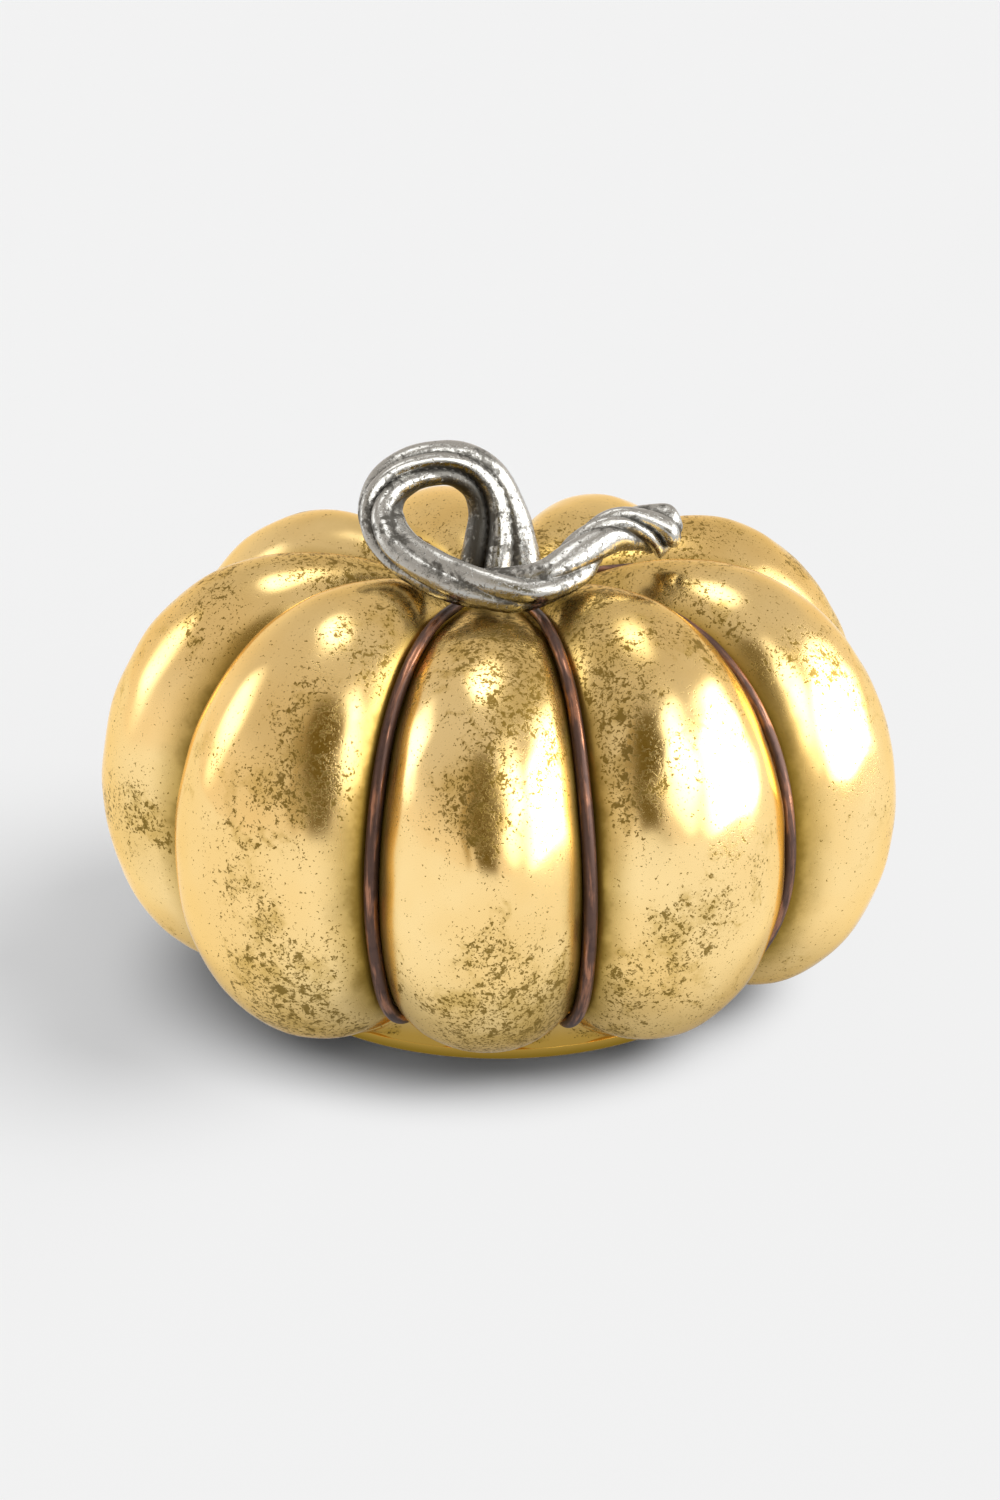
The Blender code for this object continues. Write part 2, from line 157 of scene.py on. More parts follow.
# The stage: the floor's side and the cards' distance in metres, the height above the floor that the cards are
# raised by, and the level of floor and backdrop as the camera sees them, where 1 is white.
FLOOR_SIDE = 40.0
CARD_DISTANCE = 2.0
CARD_RAISE = 0.05
BACKDROP_LEVEL = 0.885
WHITE = (1.0, 1.0, 1.0, 1.0)


def length(name, description, millimetres):
    """A size that a user may change, in metres."""
    return FloatProperty(
        name=name, description=description, default=millimetres * MM, min=0.0, precision=5, unit="LENGTH"
    )


def share(name, description, default):
    return FloatProperty(
        name=name, description=description, default=default, min=0.0, max=1.0, subtype="FACTOR"
    )


def angle(name, description, degrees):
    return FloatProperty(name=name, description=description, default=math.radians(degrees), subtype="ANGLE")


def colour(name, description, default):
    return FloatVectorProperty(
        name=name, description=description, default=(*default, 1.0), size=4, min=0.0, max=1.0, subtype="COLOR"
    )


class ShellSettings(bpy.types.PropertyGroup):
    """Sizes of the lobed shell."""

    fullness: FloatProperty(
        name="Lobe Fullness",
        description="Power of the curve across a lobe: lower is squarer",
        default=0.8,
        min=0.3,
        max=2.0,
    )
    shoulder: length("Shoulder Radius", "Distance from the axis to the highest line of the lobes", 47.0)
    equator: length("Equator Height", "Height at which the lobes reach furthest", 47.0)
    underside: length("Underside Radius", "Distance from the axis to the lowest line of the lobes", 60.0)
    groove: length("Groove Radius", "Furthest reach of the groove floors", 77.8)
    groove_shoulder: length(
        "Groove Shoulder", "Distance from the axis to the highest line of the grooves", 39.5
    )
    groove_top: length("Groove Top", "Height of the groove floors at their shoulder", 93.3)
    groove_equator: length("Groove Equator", "Height at which the grooves reach furthest", 46.0)
    groove_underside: length(
        "Groove Underside", "Distance from the axis to where the grooves turn under", 56.5
    )
    groove_low: length("Groove Low End", "Height at which the grooves turn under", 13.2)
    crown_seat: length("Crown Seat Radius", "Radius of the flat seat under the stem", 13.0)
    crown_height: length("Crown Seat Height", "Height of the flat seat under the stem", 91.5)
    foot: length("Foot Radius", "Radius of the foot's standing ring", 54.8)
    foot_height: length("Foot Height", "Height of the foot's standing ring", 2.7)
    opening: length("Foot Opening", "Radius of the opening in the foot", 44.0)
    bore: length("Crown Bore", "Radius of the hole for the stud", 3.0)
    wall: length("Wall", "Thickness of the shell", 4.5)
    unevenness: length("Unevenness", "Height of the waves that hand forming leaves on the lobes", 0.16)


class WireSettings(bpy.types.PropertyGroup):
    """Sizes of the wires in the grooves."""

    radius: length("Wire Radius", "Radius of the copper wire at its low end", 1.5)
    crown_radius: length("Crown Radius", "Radius of the copper wire at the crown", 1.15)
    seat_gap: length("Seat Gap", "Clearance between a wire and the groove it lies in", 0.35)
    hug: length("Hug", "Half width of the groove floor, which the lobes close over the wire from", 0.8)
    waver: length("Waver", "How far a wire strays sideways in its groove", 0.25)


class StemSettings(bpy.types.PropertyGroup):
    """Shape of the cast stem."""

    ridges: IntProperty(name="Ridges", description="Ridges round the stem", default=4, min=3, max=9)
    flute: share("Flute Depth", "Depth of the flutes as a share of the stem's radius", 0.26)
    loop_twist: angle("Loop Twist", "Turn of the ridges over the whole stem", 150.0)
    tail_twist: angle("Tail Twist", "Further turn of the ridges in the tail", 300.0)
    lumps: length("Lumps", "Height of the uneven cast surface", 0.07)


class FinishSettings(bpy.types.PropertyGroup):
    """Colours of the finishes."""

    gold: colour("Gold", "Bright gold", (1.0, 0.75, 0.355))
    gold_deep: colour("Deep Gold", "Gold where it is laid thicker", (0.95, 0.66, 0.265))
    # Painted shade: the foot gold stands for the dark floor seen in the gold low on the foot and the base.
    foot: colour("Foot Gold", "Warmer gold low on the foot", (0.92, 0.57, 0.11))
    edge: colour("Edge Gold", "Tint of the gold seen edge on", (1.0, 0.86, 0.6))
    # Used for real stains and also for painted shade: in the grooves, round the crown and close to the floor.
    stain_and_shade: colour("Stain And Shade", "Soft olive stain over the gold", (0.42, 0.26, 0.02))
    speck: colour("Specks", "Brown specks where the gold is worn", (0.19, 0.115, 0.012))
    copper: colour("Copper", "Rubbed copper", (0.42, 0.20, 0.12))
    patina: colour("Patina", "Brown patina on the copper", (0.10, 0.055, 0.042))
    pewter: colour("Pewter", "Polished cast metal", (0.45, 0.445, 0.42))
    oxide: colour("Oxide", "Dark oxide in the stem's flutes", (0.075, 0.07, 0.06))
    zinc: colour("Zinc", "Plated steel", (0.60, 0.61, 0.63))
    fibre: colour("Fibre", "Fibre washer", (0.30, 0.07, 0.05))


class StageSettings(bpy.types.PropertyGroup):
    """Camera, floor and light."""

    elevation: angle("Elevation", "Height of the camera above the horizon", 20.66)
    distance: length("Distance", "Distance from the camera to the point it looks at", 646.0)
    aim: length("Aim Height", "Height of the point that the camera looks at", 51.7)
    lens: FloatProperty(name="Lens", description="Focal length", default=67.5, unit="CAMERA")
    dome_tint: colour("Dome Tint", "Colour of the studio as the metal shows it", (1.0, 0.93, 0.86))
    floor: colour("Floor", "Pale floor", (0.9, 0.9, 0.9))
    sun: FloatProperty(name="Sun", description="Strength of the soft key light", default=1.0, min=0.0)
    dome: FloatProperty(name="Dome", description="Strength of the studio's own light", default=1.0, min=0.0)


class PumpkinSettings(bpy.types.PropertyGroup):
    """All the settings of the pumpkin figure."""

    shell: PointerProperty(type=ShellSettings)
    wires: PointerProperty(type=WireSettings)
    stem: PointerProperty(type=StemSettings)
    finish: PointerProperty(type=FinishSettings)
    stage: PointerProperty(type=StageSettings)


def softened(values, spread):
    """Values smoothed down their first axis with a bell curve whose spread is in rows, their ends kept."""
    reach = 3 * spread
    bell = np.exp(-0.5 * (np.arange(-reach, reach + 1) / spread) ** 2)
    columns = values.reshape(len(values), -1)
    padded = np.pad(columns, ((reach, reach), (0, 0)), mode="reflect", reflect_type="odd")
    smooth = np.apply_along_axis(np.convolve, 0, padded, bell / bell.sum(), "valid")
    return smooth.reshape(values.shape)


def unit(vectors):
    return vectors / np.linalg.norm(vectors, axis=-1, keepdims=True)


def at_azimuth(radius, height, azimuth):
    """Points at a radius and height, turned about the axis from the front (-Y) towards +X."""
    radius, height, azimuth = np.broadcast_arrays(radius, height, azimuth)
    return np.stack((radius * np.sin(azimuth), -radius * np.cos(azimuth), height), axis=-1)


def meridian(place, seat, shoulder, middle, underside, foot):
    """Radius and height down a meridian in four stretches, each a unit of place: a power curve from the
    crown's seat to the shoulder, a quarter ellipse to the middle, another to the underside, and a run to the
    foot. Each stop is a (radius, height) pair, with the crown curve's power third in the seat's."""
    crown = np.clip(place, 0, 1)
    upper = np.clip(place - 1, 0, 1) * np.pi / 2
    lower = np.clip(place - 2, 0, 1) * np.pi / 2
    last = np.clip(place - 3, 0, 1)
    radius = np.select(
        (place <= 1, place <= 2, place <= 3),
        (
            seat[0] + (shoulder[0] - seat[0]) * crown,
            shoulder[0] + (middle[0] - shoulder[0]) * np.sin(upper),
            underside[0] + (middle[0] - underside[0]) * np.cos(lower),
        ),
        underside[0] + (foot[0] - underside[0]) * last,
    )
    height = np.select(
        (place <= 1, place <= 2, place <= 3),
        (
            shoulder[1] - (shoulder[1] - seat[1]) * (1 - crown) ** seat[2],
            middle[1] + (shoulder[1] - middle[1]) * np.cos(upper),
            middle[1] - (middle[1] - underside[1]) * np.sin(lower),
        ),
        underside[1] + (foot[1] - underside[1]) * last,
    )
    return radius, height


def groove_meridian(shell, place):
    """The floors of all the grooves, one column each: one meridian, moved in by each groove's own depth,
    which fades out towards the crown and the foot."""
    radius, height = meridian(
        place[:, None],
        (shell.crown_seat, shell.crown_height, 2.0),
        (shell.groove_shoulder, shell.groove_top),
        (shell.groove, shell.groove_equator),
        (shell.groove_underside, shell.groove_low),
        (shell.foot, shell.foot_height),
    )
    fade = np.clip(place, 0, 1) * np.clip(4 - place, 0, 1)
    return moved_off(radius, height, -fade[:, None] * GROOVE_DEEPER)


def crest_meridian(shell, place):
    """The crests of all the lobes, one column each."""
    return meridian(
        place[:, None],
        (shell.crown_seat, shell.crown_height, 2.2),
        (shell.shoulder, TOP),
        (REACH, shell.equator),
        (shell.underside, UNDERSIDE),
        (shell.foot, shell.foot_height),
    )


def moved_off(radius, height, distance):
    """A meridian moved off along its own normal, outwards where the distance is positive."""
    along_r, along_z = np.gradient(radius, axis=0), np.gradient(height, axis=0)
    size = np.hypot(along_r, along_z)
    return radius - along_z / size * distance, height + along_r / size * distance


def add_surface(name, points, wrap_rows=False, poles=(None, None), marks=None):
    """A mesh object from a grid of points, rows by columns. Its columns close round, its rows close too where
    wrap_rows is set, and a pole closes an end of the rows with a fan. Marks are point attributes on the grid,
    of numbers or vectors."""
    rows, columns = points.shape[:2]
    index = np.arange(rows * columns).reshape(rows, columns)
    after = np.roll(index, -1, axis=1)
    below = np.roll(index, -1, axis=0), np.roll(after, -1, axis=0)
    last = rows if wrap_rows else rows - 1
    quads = np.stack((index, below[0], below[1], after), axis=-1)[:last].reshape(-1, 4)
    verts = points.reshape(-1, 3)
    faces = quads.tolist()
    values = {key: grid.reshape(rows * columns, *grid.shape[2:]) for key, grid in (marks or {}).items()}
    for pole, ring in zip(poles, (0, rows - 1)):
        if pole is None:
            continue
        centre = np.full(columns, len(verts))
        faces += np.stack((index[ring], after[ring], centre), axis=-1).tolist()
        verts = np.vstack((verts, pole))
        values = {key: np.append(grid, grid[index[ring]].mean(0)[None], 0) for key, grid in values.items()}
    mesh = bpy.data.meshes.new(name)
    mesh.from_pydata(verts.tolist(), [], faces)
    for key, grid in values.items():
        kind, field = ("FLOAT", "value") if grid.ndim == 1 else ("FLOAT_VECTOR", "vector")
        mesh.attributes.new(key, kind, "POINT").data.foreach_set(field, grid.ravel())
    bm = bmesh.new()
    bm.from_mesh(mesh)
    bmesh.ops.recalc_face_normals(bm, faces=bm.faces)
    bm.to_mesh(mesh)
    bm.free()
    mesh.shade_smooth()
    mesh.set_sharp_from_angle(angle=math.radians(50))
    obj = bpy.data.objects.new(name, mesh)
    bpy.context.scene.collection.objects.link(obj)
    return obj


def dressed(obj, material, slot, *nodes):
    """Gives a finished piece its material and body, and hides the CAD nodes it stands for. The slot is not
    used.
    """
    obj.data.materials.append(material)
    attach(obj, BODY)
    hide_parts(*nodes)


def uneven(points, amount):
    """Points moved to or from the body's middle by three crossing sine waves, as hand forming leaves them."""
    x, y, z = np.moveaxis(points, -1, 0)
    waves = (
        np.sin(180 * x + 130 * z + 1.0) * np.sin(150 * y - 170 * z)
        + 0.6 * np.sin(310 * y + 240 * x) * np.sin(260 * z + 2.0)
        + 0.35 * np.sin(520 * x - 410 * z) * np.sin(470 * y + 0.5)
    )
    return points + unit(points - BODY_MIDDLE) * (amount * (waves - 1.2))[..., None]


def worn_at(points):
    """How far specks and stain gather at each point: the sum of the patches, each a bell curve over the
    distance from its middle round the figure and up it."""
    azimuth = np.arctan2(points[..., 0], -points[..., 1])
    reach = np.hypot(points[..., 0], points[..., 1])
    gathered = np.zeros((2, *azimuth.shape))
    for degrees, height, spread, specks, stain_and_shade in WEAR:
        round_to = reach * np.angle(np.exp(1j * (azimuth - math.radians(degrees))))
        apart = np.hypot(round_to, points[..., 2] - height * MM) / (spread * MM)
        gathered += np.multiply.outer((specks, stain_and_shade), np.exp(-(apart**2) / 2))
    return gathered


def shell_grid(shell, seat_half_width):
    """The shell as one closed sheet: down the outside from the crown to the foot, in through the foot's
    opening and up the inside to the crown's bore. At each row a lobe's section swells from its two grooves to
    its crest as (1 - across squared) to the power of its fullness, and a narrow floor joins one lobe to the
    next. The cloud mark stains the patches of wear, and round the crown it darkens the gold as partly dust and
    partly painted shade under the stem."""
    last = len(SHELL_ROWS) - 1
    place = np.concatenate(
        [np.linspace(part, part + 1, rows, endpoint=part == last) for part, rows in enumerate(SHELL_ROWS)]
    )
    groove = np.stack([softened(line, 4) for line in groove_meridian(shell, place)])
    crest = np.stack([softened(line, 4) for line in crest_meridian(shell, place)])
    inner = np.flatnonzero(place <= last)[::-INSIDE_EVERY]
    inside_groove = np.stack(moved_off(*groove, -shell.wall))[:, inner]
    inside_crest = np.stack(moved_off(*crest, -shell.wall))[:, inner]
    lobes = np.ones(len(LOBES))
    opening = np.array(((shell.opening, shell.opening), (shell.foot_height, shell.foot_height + shell.wall)))
    bore = np.array(((shell.bore, shell.bore), (shell.crown_height - shell.wall, shell.crown_height)))
    opening, bore = opening[..., None] * lobes, bore[..., None] * lobes
    groove = np.concatenate((groove, opening, inside_groove, bore), axis=1)
    crest = np.concatenate((crest, opening, inside_crest, bore), axis=1)
    across = -np.cos(np.pi * np.arange(LOBE_STEPS + 1) / LOBE_STEPS)
    along = (1 + across) / 2
    swell = np.clip(1 - across**2, 0, None) ** shell.fullness
    following = np.roll(groove, -1, axis=2)
    floor = groove[..., None] + (following - groove)[..., None] * along
    radius, height = floor + (crest[..., None] - floor) * swell
    seat = np.arcsin(np.clip(seat_half_width / groove[0], 0, 0.16))
    start = GROOVE_AZIMUTH + seat
    end = np.append(GROOVE_AZIMUTH[1:], GROOVE_AZIMUTH[0] + 2 * np.pi) - np.roll(seat, -1, axis=1)
    azimuth = start[..., None] + (end - start)[..., None] * along
    points = at_azimuth(radius, height, azimuth).reshape(len(radius), -1, 3)
    crease = np.broadcast_to(1 - swell, radius.shape).reshape(points.shape[:2])
    specks, cloud = worn_at(points)
    # Darker round the crown: partly dust, partly painted shade under the stem.
    crown_dust_and_shade = 0.4 * np.clip(1 - place / 1.3, 0, 1)
    cloud[: len(place)] += crown_dust_and_shade[:, None]
    formed = slice(2, len(place) - SHELL_ROWS[last])
    points[formed] = uneven(points[formed], shell.unevenness)
    return points, {"crease": crease, "wear": specks, "cloud": cloud}


def carried(path, reference, across, out):
    """An outline carried along a path. At each place across runs along the reference direction, squared up to
    the path, and out at right angles to both."""
    tangent = unit(np.gradient(path, axis=0))
    side = unit(reference - (tangent @ reference)[:, None] * tangent)
    away = np.cross(tangent, side)
    return path[:, None] + across[..., None] * side[:, None] + out[..., None] * away[:, None]


def distance_along(path):
    return np.append(0, np.cumsum(np.linalg.norm(np.diff(path, axis=0), axis=1)))


def full_turn(sides):
    return 2 * np.pi * np.arange(sides) / sides


def wire_grid(shell, wires, lobe):
    """A round tube along a lobe's first groove with half-ball ends: the path is the groove's meridian moved
    off by the wire's radius, wavering sideways as two sine waves, and the radius near an end falls as a
    circle does. Each point is marked with where it would lie on the same wire drawn out straight."""
    spread = 0.5 - 0.5 * np.cos(np.pi * np.arange(WIRE_STEPS + 1) / WIRE_STEPS)
    first = (WIRE_START[lobe] - shell.crown_seat) / (shell.groove_shoulder - shell.crown_seat)
    place = first + (WIRE_END - first) * spread
    lines = moved_off(*groove_meridian(shell, place), wires.radius + wires.seat_gap)
    radius, height = (softened(line[:, lobe], 3) for line in lines)
    azimuth = GROOVE_AZIMUTH[lobe]
    waver = wires.waver * (np.sin(5 * place + 9 * azimuth) + 0.5 * np.sin(11 * place - 4 * azimuth)) / 1.5
    path = at_azimuth(radius, height, azimuth + waver / radius)
    along = distance_along(path)
    end = np.minimum(along, along[-1] - along)
    full = wires.crown_radius + (wires.radius - wires.crown_radius) * np.clip(along / along[-1] * 2, 0, 1)
    thick = full * np.sqrt(np.clip(1 - (1 - np.clip(end / full, 0, 1)) ** 2, 0, 1))
    turn = full_turn(WIRE_SIDES)
    across, out = thick[:, None] * np.cos(turn), thick[:, None] * np.sin(turn)
    points = carried(path, np.array((np.cos(azimuth), np.sin(azimuth), 0.0)), across, out)
    straight = np.stack((np.broadcast_to(along[:, None], across.shape), across, out), axis=-1)
    return points, path, straight


def smooth_route(rows, per_span):
    """Rows along a smooth curve through the given ones: a Catmull-Rom spline, then softened."""
    rows = np.vstack((2 * rows[0] - rows[1], rows, 2 * rows[-1] - rows[-2]))
    place = np.linspace(0, len(rows) - 3, (len(rows) - 3) * per_span + 1)
    span = np.minimum(place.astype(int), len(rows) - 4)
    t = (place - span)[:, None]
    a, b, c, d = (rows[span + step] for step in range(4))
    curve = 2 * b + (c - a) * t + (2 * a - 5 * b + 4 * c - d) * t**2 + (3 * b - a - 3 * c + d) * t**3
    return softened(curve / 2, per_span // 3)


def stem_grid(stem):
    """The stem: a ridged outline carried along its route. The outline's radius falls from each ridge to the
    flute beside it as a power of a cosine, which leaves round strands with narrow valleys between them. The
    strands are uneven and turn as they go, most in the tail. Grime lies in the flutes; inside the loop, as far
    as its top, the same darkening is painted shade; and there is less of it on the low arm."""
    rows = smooth_route(STEM_ROUTE * MM, STEM_STEPS)
    path, size = rows[:, :3], rows[:, 3]
    along = distance_along(path)
    share_along = along / along[-1]
    turn = full_turn(STEM_SIDES)
    tail = np.clip((share_along - 0.6) / 0.4, 0, 1) ** 1.3
    twist = stem.loop_twist * share_along + stem.tail_twist * tail
    phase = turn - twist[:, None]
    phase = phase + 0.45 * np.sin(phase + 0.8) + 0.15 * np.sin(2 * phase)
    flute = 1 - np.abs(np.cos(stem.ridges * phase / 2)) ** 0.9
    ends = np.exp(-along / (5 * MM)) + np.exp((along - along[-1]) / (4 * MM))
    depth = stem.flute * (1 + 0.4 * ends)[:, None] * (1 + 0.3 * np.cos(2 * phase + 1.0))
    lumps = np.sin(380 * along[:, None] + 2 * turn) + 0.6 * np.sin(760 * along[:, None] - 3 * turn + 1.0)
    radius = size[:, None] * (1 - depth * flute) + stem.lumps * (lumps - 1.6) * (1 - ends[:, None]).clip(0, 1)
    across, out = radius * np.cos(turn), radius * np.sin(turn)
    points = carried(path, np.array((0.0, -1.0, 0.0)), across, out)
    straight = np.stack((np.broadcast_to(along[:, None], across.shape), across, out), axis=-1)
    poles = path[0], path[-1] + unit(path[-1] - path[-3]) * 0.6 * MM
    # Painted shade inside the loop as far as its top, carried with the oxide in the flute mark.
    inside = np.sum(unit(points - path[:, None]) * unit(LOOP_MIDDLE - points), axis=-1).clip(0, 1)
    riser = np.clip((0.45 - share_along) / 0.1, 0, 1)
    low_arm = np.exp(-(((share_along - 0.64) / 0.12) ** 2))
    oxide_and_loop_shade = flute + 0.9 * inside * riser[:, None] - 0.3 * low_arm[:, None]
    return points, poles, {"flute": oxide_and_loop_shade, "straight": straight}


def base_grid(shell):
    """The base plate: an outline of rounded corners, turned about the axis."""
    radius, top = shell.foot, shell.foot_height - 0.02 * MM
    spigot, spigot_top = shell.opening - 0.5 * MM, BASE_HIGH.z
    low_edge, high_edge, spigot_edge = 1.2 * MM, 0.06 * MM, 0.8 * MM
    bend = np.linspace(0, np.pi / 2, CORNER_STEPS)
    low_corner = radius - low_edge + low_edge * np.sin(bend), low_edge - low_edge * np.cos(bend)
    high_corner = radius - high_edge + high_edge * np.cos(bend), top - high_edge + high_edge * np.sin(bend)
    inner_corner = np.array((spigot, spigot)), np.array((top, spigot_top - spigot_edge))
    top_corner = (
        spigot - spigot_edge + spigot_edge * np.cos(bend),
        spigot_top - spigot_edge * (1 - np.sin(bend)),
    )
    floor_ring = np.array((radius * 0.5,)), np.zeros(1)
    corners = (floor_ring, low_corner, high_corner, inner_corner, top_corner)
    line_r, line_z = (np.concatenate(parts) for parts in zip(*corners))
    turn = full_turn(BASE_SIDES)
    points = at_azimuth(line_r[:, None], line_z[:, None], turn)
    return points, (np.zeros(3), np.array((0.0, 0.0, spigot_top)))


class Nodes:
    """Short ways to add and link the nodes of a tree."""

    def __init__(self, tree):
        self.tree = tree

    def add(self, kind, inputs=None, **settings):
        """A node with its settings, whose inputs are given as values or as other nodes' sockets."""
        node = self.tree.nodes.new(kind)
        for key, value in settings.items():
            setattr(node, key, value)
        for key, value in (inputs or {}).items():
            if isinstance(value, bpy.types.NodeSocket):
                self.tree.links.new(value, node.inputs[key])
            else:
                node.inputs[key].default_value = value
        return node

    def noise(self, vector, scale, detail=2.0, roughness=0.5, distortion=0.0):
        keys = ("Vector", "Scale", "Detail", "Roughness", "Distortion")
        inputs = dict(zip(keys, (vector, scale, detail, roughness, distortion)))
        return self.add("ShaderNodeTexNoise", inputs).outputs["Fac"]

    def step(self, value, low, high, to_low=0.0, to_high=1.0):
        """A smooth step from low to high."""
        inputs = {"Value": value, "From Min": low, "From Max": high, "To Min": to_low, "To Max": to_high}
        return self.add("ShaderNodeMapRange", inputs, interpolation_type="SMOOTHSTEP").outputs["Result"]

    def math(self, operation, first, second=0.0, clamp=False):
        inputs = {0: first, 1: second}
        return self.add("ShaderNodeMath", inputs, operation=operation, use_clamp=clamp).outputs[0]

    def times(self, first, second):
        return self.math("MULTIPLY", first, second)

    def plus(self, first, second, clamp=False):
        return self.math("ADD", first, second, clamp)

    def minus(self, first, second):
        return self.math("SUBTRACT", first, second)

    def mix(self, factor, first, second):
        """Two colours mixed."""
        inputs = {0: factor, 6: first, 7: second}
        return self.add("ShaderNodeMix", inputs, data_type="RGBA").outputs[2]

    def blend(self, factor, first, second):
        """Two numbers mixed."""
        return self.add("ShaderNodeMix", {0: factor, 2: first, 3: second}).outputs[0]

    def group(self, tree, inputs):
        return self.add("ShaderNodeGroup", inputs, node_tree=tree).outputs

    def attribute(self, name):
        return self.add("ShaderNodeAttribute", attribute_name=name).outputs["Fac"]

    def object_coordinates(self):
        return self.add("ShaderNodeTexCoord").outputs["Object"]

    def parts(self, vector):
        return self.add("ShaderNodeSeparateXYZ", {"Vector": vector}).outputs

    def bump(self, height, strength, distance):
        inputs = {"Height": height, "Strength": strength, "Distance": distance}
        return self.add("ShaderNodeBump", inputs).outputs["Normal"]


def new_group(name, inputs, outputs):
    """An empty shader node group with the named sockets: its tree, its nodes, its inputs and the node to link
    its outputs to."""
    tree = bpy.data.node_groups.new(name, "ShaderNodeTree")
    for socket, kind in inputs.items():
        tree.interface.new_socket(socket, in_out="INPUT", socket_type=kind)
    for socket in outputs:
        tree.interface.new_socket(socket, in_out="OUTPUT", socket_type="NodeSocketFloat")
    nodes = Nodes(tree)
    return tree, nodes, nodes.add("NodeGroupInput").outputs, nodes.add("NodeGroupOutput")


def new_material(name):
    """A material with its nodes and its Principled shader."""
    material = bpy.data.materials.new(name)
    material.use_nodes = True
    return material, Nodes(material.node_tree), material.node_tree.nodes["Principled BSDF"]


def speckle_group():
    """Worn gold with painted shade: dust, specks and clumps of brown that crowd together in patches and along
    fine threads, and a soft stain. Cover is how much there is. Crease, 1 in a groove and 0 on a crest, darkens
    the grooves with painted shade, thins the specks in them and lays a band along their edges that is partly
    dirt and partly painted shade. Cloud adds to the specks and the stain, and round the crown it is painted
    shade."""
    found = bpy.data.node_groups.get("wear_and_painted_shade")
    if found:
        return found
    sockets = {key: "NodeSocketFloat" for key in ("Cover", "Crease", "Cloud")}
    sockets["Vector"] = "NodeSocketVector"
    tree, nodes, given, result = new_group("wear_and_painted_shade", sockets, ("Specks", "Stain And Shade", "Height"))
    vector = given["Vector"]
    patch = nodes.minus(nodes.noise(vector, 46.0, 4.0, 0.6, 0.5), 0.5)
    zone = nodes.minus(nodes.noise(vector, 13.0, 2.0, 0.5), 0.5)
    off_thread = nodes.math("ABSOLUTE", nodes.minus(nodes.noise(vector, 64.0, 3.0, 0.6), 0.5))
    thread = nodes.step(off_thread, 0.04, 0.0, 0.0, 0.08)
    height = nodes.parts(vector)["Z"]
    crowd = nodes.times(nodes.plus(patch, nodes.times(zone, 0.3)), 0.8)
    crowd = nodes.plus(nodes.plus(crowd, thread), nodes.step(height, 45 * MM, 15 * MM, 0.0, 0.03))
    crowd = nodes.plus(crowd, nodes.times(given["Cloud"], 0.32))
    crowd = nodes.minus(crowd, nodes.step(given["Crease"], 0.6, 0.95, 0.0, 0.3))
    crowd = nodes.minus(crowd, nodes.step(height, 5 * MM, 3 * MM, 0.0, 0.3))
    crowd = nodes.minus(crowd, nodes.step(height, 88 * MM, 96 * MM, 0.0, 0.025))
    crowd = nodes.math("MINIMUM", nodes.plus(crowd, given["Cover"]), 0.14)
    specks = 0.0
    # Dust, specks and clumps: the noise, how far crowding adds to it, and the step that cuts it.
    for scale, detail, rough, pull, low, high in (
        (1700.0, 1.0, 0.5, 0.4, 0.645, 0.74),
        (1000.0, 3.0, 0.6, 0.9, 0.665, 0.725),
        (400.0, 5.0, 0.7, 1.2, 0.70, 0.77),
    ):
        grain = nodes.noise(vector, scale, detail, rough, 0.4)
        layer = nodes.step(nodes.plus(grain, nodes.times(crowd, pull)), low, high)
        specks = nodes.math("MAXIMUM", specks, layer)
    mist = nodes.noise(vector, 120.0, 4.0, 0.65)
    stain_and_shade = nodes.step(nodes.plus(mist, nodes.times(crowd, 1.5)), 0.5, 0.9)
    # Painted shade in the grooves beside the wires, darkest at their floors and faded out near the foot.
    groove_shade = nodes.step(given["Crease"], 0.35, 0.8, 0.0, 0.65)
    groove_shade = nodes.plus(groove_shade, nodes.step(given["Crease"], 0.7, 0.92, 0.0, 0.35))
    above_foot = nodes.step(height, 8 * MM, 20 * MM)
    groove_shade = nodes.times(groove_shade, above_foot)
    # The cloud mark's stain; round the crown it is painted shade.
    cloud_stain_and_crown_shade = nodes.times(given["Cloud"], nodes.step(mist, 0.25, 0.7, 0.7, 1.3))
    stain_and_shade = nodes.math("MAXIMUM", nodes.times(stain_and_shade, 0.55), groove_shade)
    stain_and_shade = nodes.math("MAXIMUM", stain_and_shade, cloud_stain_and_crown_shade, True)
    # A brown band along the groove edges, partly dirt and partly painted shade beside the wires, laid in with
    # the specks.
    edge = nodes.plus(given["Crease"], nodes.times(nodes.minus(mist, 0.5), 0.5))
    dirt_and_groove_shade = nodes.plus(nodes.step(edge, 0.42, 0.8, 0.0, 0.35), nodes.step(edge, 0.66, 0.88, 0.0, 0.55))
    dirt_and_groove_shade = nodes.times(dirt_and_groove_shade, above_foot)
    dirt_and_groove_shade = nodes.times(dirt_and_groove_shade, nodes.step(height, 90 * MM, 79 * MM, 0.1, 1.0))
    specks = nodes.math("MAXIMUM", specks, dirt_and_groove_shade)
    ripple = nodes.noise(vector, 130.0, 2.0, 0.5)
    relief = nodes.minus(nodes.times(ripple, 0.6), nodes.times(specks, 0.4))
    for socket, value in (("Specks", specks), ("Stain And Shade", stain_and_shade), ("Height", relief)):
        tree.links.new(value, result.inputs[socket])
    return tree


